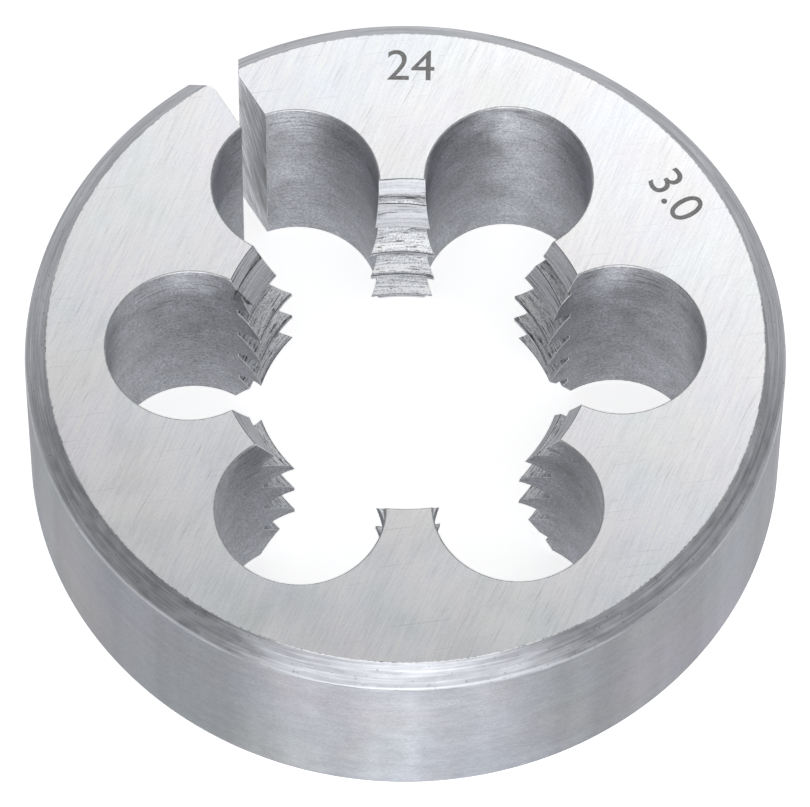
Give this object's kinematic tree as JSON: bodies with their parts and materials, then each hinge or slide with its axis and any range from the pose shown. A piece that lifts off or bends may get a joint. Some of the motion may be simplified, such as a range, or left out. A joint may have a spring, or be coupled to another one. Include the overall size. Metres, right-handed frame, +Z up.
{
  "type": "round threading die",
  "caption": "Round split threading die: a chamfered steel disc with a threaded bore, chip holes round it and a slot to the rim.",
  "frame": {"origin": "centre of the bottom face, on the bore's axis", "axes": "+Z up the bore's axis to the marked face, +Y out through the slot"},
  "size_m": [0.0508, 0.0507, 0.0159],
  "materials": {
    "ground_steel": "hardened tool steel, ground bright on the faces, satin on the rim, dark and reamed in the holes"
  },
  "bodies": {
    "root": {"die_body": "ground_steel"}
  },
  "joints": []
}
